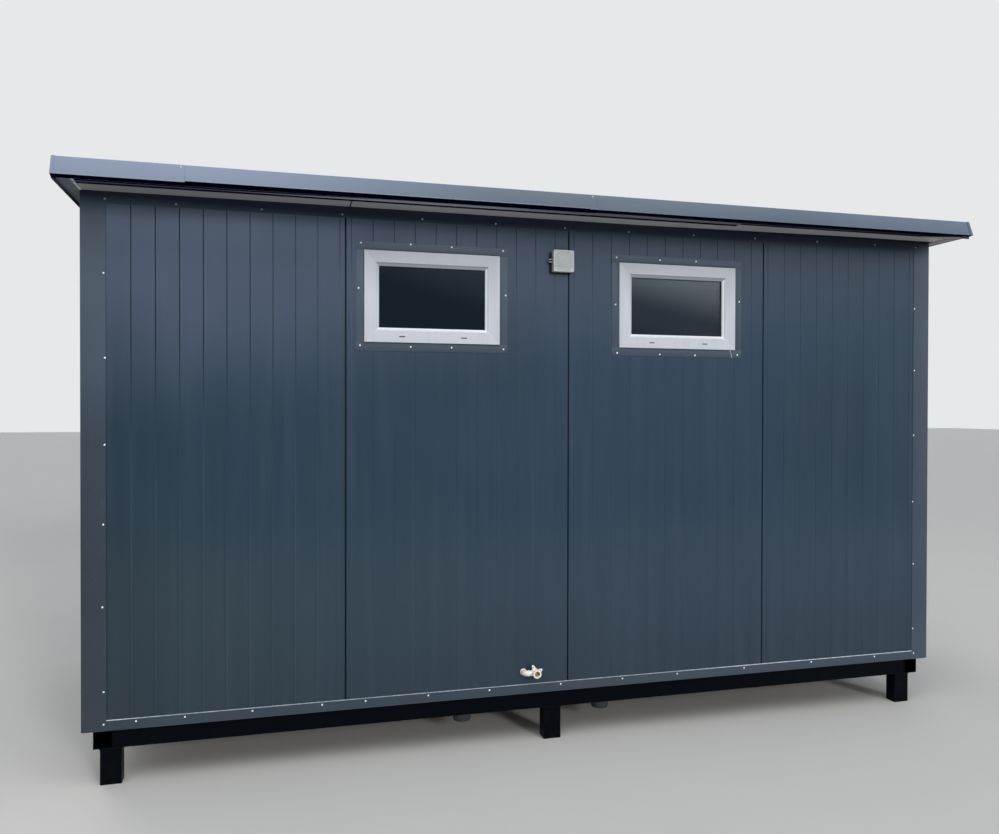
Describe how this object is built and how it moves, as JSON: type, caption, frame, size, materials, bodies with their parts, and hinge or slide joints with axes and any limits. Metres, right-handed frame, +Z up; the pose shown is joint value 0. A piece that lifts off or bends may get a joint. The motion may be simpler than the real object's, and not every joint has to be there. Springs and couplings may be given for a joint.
{
  "type": "portable site cabin",
  "caption": "Portable site cabin with insulated panel walls, high white windows, a flat overhanging roof and a raised black steel base frame on short feet.",
  "frame": {"origin": "centre of the plan at ground level, under the feet", "axes": "+X along the length, to the right seen from the window wall; the window wall faces -Y; +Z up"},
  "size_m": [4.51, 2.5, 2.677],
  "materials": {
    "panel_steel": "satin coated steel skin with fine grooves",
    "trim_steel": "satin folded coated sheet",
    "fascia_steel": "smooth folded coated sheet",
    "roof_steel": "ribbed coated steel, pale underside",
    "frame_steel": "black painted steel tube",
    "floor_ply": "coated plywood floor",
    "pipe_plastic": "dark grey drain pipe",
    "window_pvc": "white extruded window profile",
    "window_glazing": "double glazing with grey film inside",
    "door_steel": "satin coated steel",
    "handle_alloy": "brushed",
    "box_plastic": "light grey moulded box",
    "inlet_plastic": "cream moulded pipe fitting",
    "rivet_alloy": "blind rivets",
    "sealant": "white sealant line",
    "gasket_rubber": "black glazing gasket",
    "thread_brass": "turned insert"
  },
  "bodies": {
    "root": {"front_rail": "frame_steel", "back_rail": "frame_steel", "cross_tubes": "frame_steel", "floor_joists": "frame_steel", "feet": "frame_steel", "floor_deck": "floor_ply", "drain_pipes": "pipe_plastic", "front_wall_panel_1": "panel_steel", "front_wall_panel_2": "panel_steel", "front_wall_panel_3": "panel_steel", "front_wall_panel_4": "panel_steel", "back_wall_panel_1": "panel_steel", "back_wall_panel_2": "panel_steel", "back_wall_panel_3": "panel_steel", "back_wall_panel_4": "panel_steel", "left_wall_panel_1": "panel_steel", "left_wall_panel_2": "panel_steel", "right_wall_panel_1": "panel_steel", "right_wall_panel_2": "panel_steel", "front_corner_trims": "trim_steel", "back_corner_trims": "trim_steel", "front_base_trim": "trim_steel", "back_base_trim": "trim_steel", "end_base_trims": "trim_steel", "front_top_trim": "trim_steel", "back_top_trim": "trim_steel", "end_top_trims": "trim_steel", "window_frame_1": "window_pvc", "window_frame_2": "window_pvc", "window_glass": "window_glazing", "window_plate_1": "trim_steel", "window_plate_2": "trim_steel", "door_frame": "door_steel", "door_leaf": "door_steel", "door_handle": "handle_alloy", "junction_box": "box_plastic", "water_inlet": "inlet_plastic", "roof_panel_1": "roof_steel", "roof_panel_2": "roof_steel", "roof_panel_3": "roof_steel", "roof_panel_4": "roof_steel", "front_fascia": "fascia_steel", "back_fascia": "fascia_steel", "left_verge": "fascia_steel", "right_verge": "fascia_steel"}
  },
  "joints": []
}
